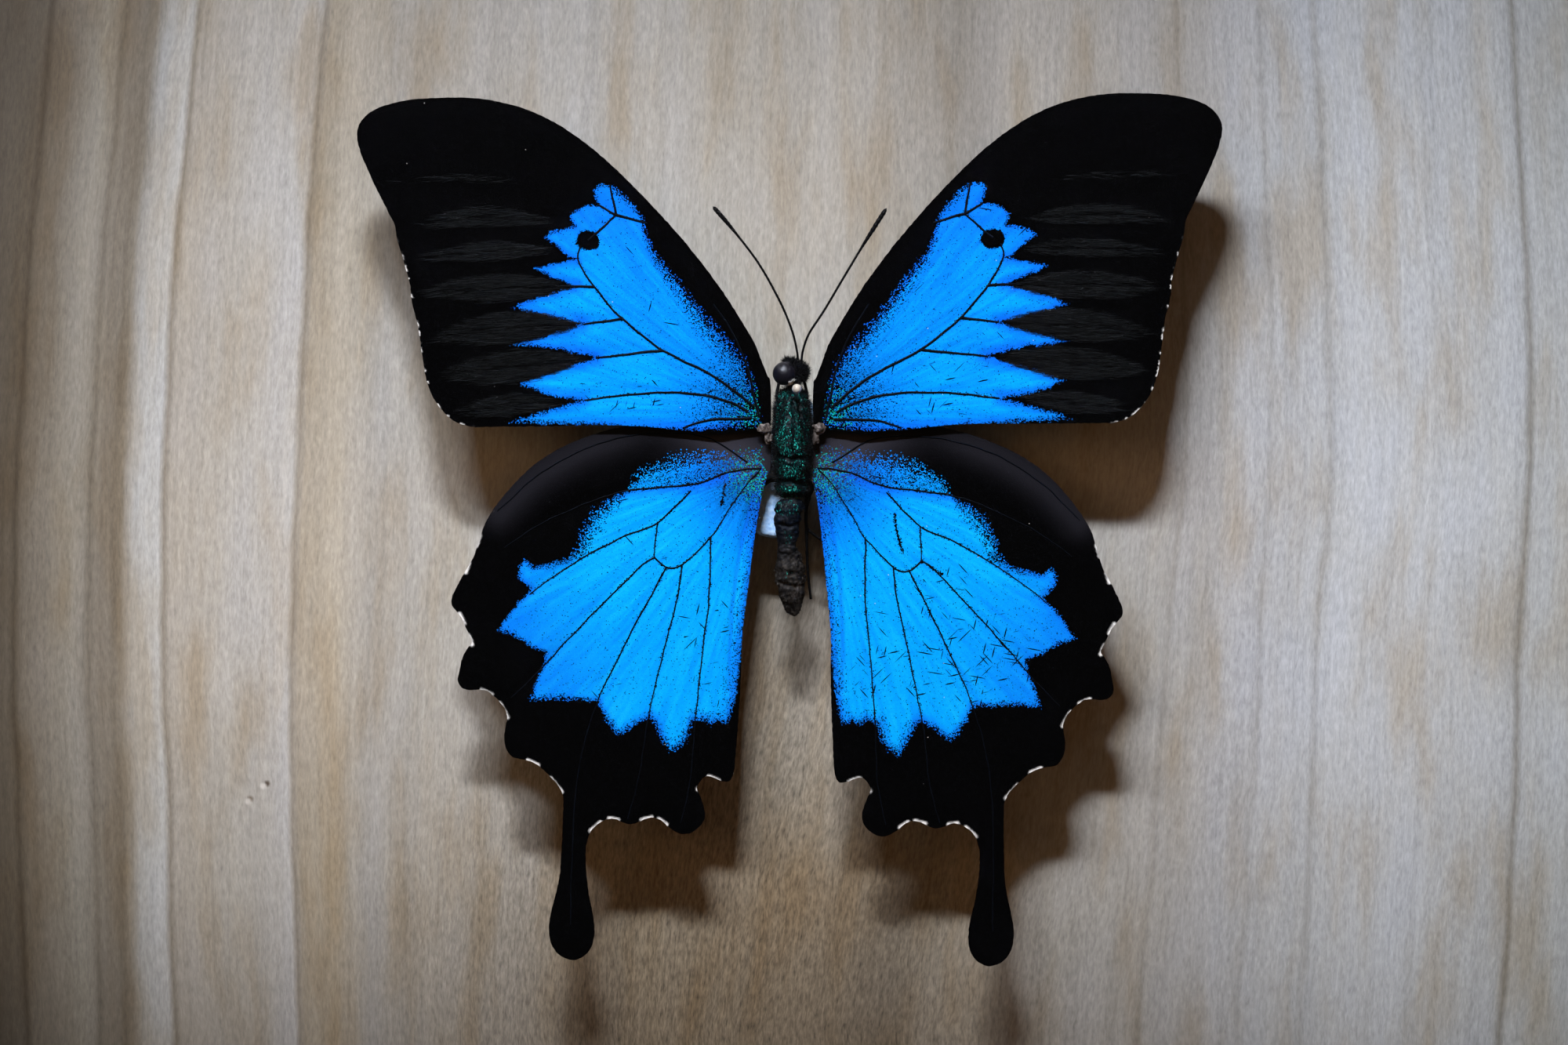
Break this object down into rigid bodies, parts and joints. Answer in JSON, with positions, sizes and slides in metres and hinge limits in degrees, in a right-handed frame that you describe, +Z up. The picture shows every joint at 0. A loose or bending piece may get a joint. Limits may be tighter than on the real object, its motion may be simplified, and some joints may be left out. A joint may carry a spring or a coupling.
{
  "type": "framed butterfly specimen",
  "caption": "Blue swallowtail butterfly, spread and pinned on a foam block before a wood-veneer board, inside a black glazed box frame that stands on its bottom rail or hangs.",
  "frame": {"origin": "middle of the bottom rail's underside, on the surface the frame stands on", "axes": "+X to the viewer's right, +Z up; the glass faces -Y and the hanger is on the +Y side"},
  "size_m": [0.25, 0.042, 0.25],
  "materials": {
    "rail": "black-stained open-pore wood, satin",
    "glass": "clear picture glass",
    "spacer": "black paint, matte",
    "veneer_board": "greyed wood veneer, satin",
    "steel": "zinc-plated, satin",
    "pin": "bright steel needle with a white pearl head",
    "foam": "white closed-cell foam",
    "wing": "iridescent blue scales with velvet-black borders",
    "thorax": "black with teal-green scales",
    "abdomen": "blue-black to brown, dull",
    "head": "black hairs with glossy dark eyes",
    "limb": "black, satin"
  },
  "bodies": {
    "root": {"rail_top": "rail", "rail_right": "rail", "rail_bottom": "rail", "rail_left": "rail", "glass_pane": "glass", "spacer_top": "spacer", "spacer_right": "spacer", "spacer_bottom": "spacer", "spacer_left": "spacer", "backing_board": "veneer_board", "point_top_1": "steel", "point_top_2": "steel", "point_right_1": "steel", "point_right_2": "steel", "point_bottom_1": "steel", "point_bottom_2": "steel", "point_left_1": "steel", "point_left_2": "steel", "hanger_plate": "steel", "hanger_nail_left": "steel", "hanger_nail_right": "steel", "pin": "pin", "foam_block": "foam", "forewing_left": "wing", "forewing_right": "wing", "hindwing_left": "wing", "hindwing_right": "wing", "thorax": "thorax", "abdomen": "abdomen", "head": "head", "antenna_left": "limb", "antenna_right": "limb", "foreleg_left": "limb", "foreleg_right": "limb", "midleg_left": "limb", "midleg_right": "limb", "hindleg_left": "limb", "hindleg_right": "limb"}
  },
  "joints": []
}
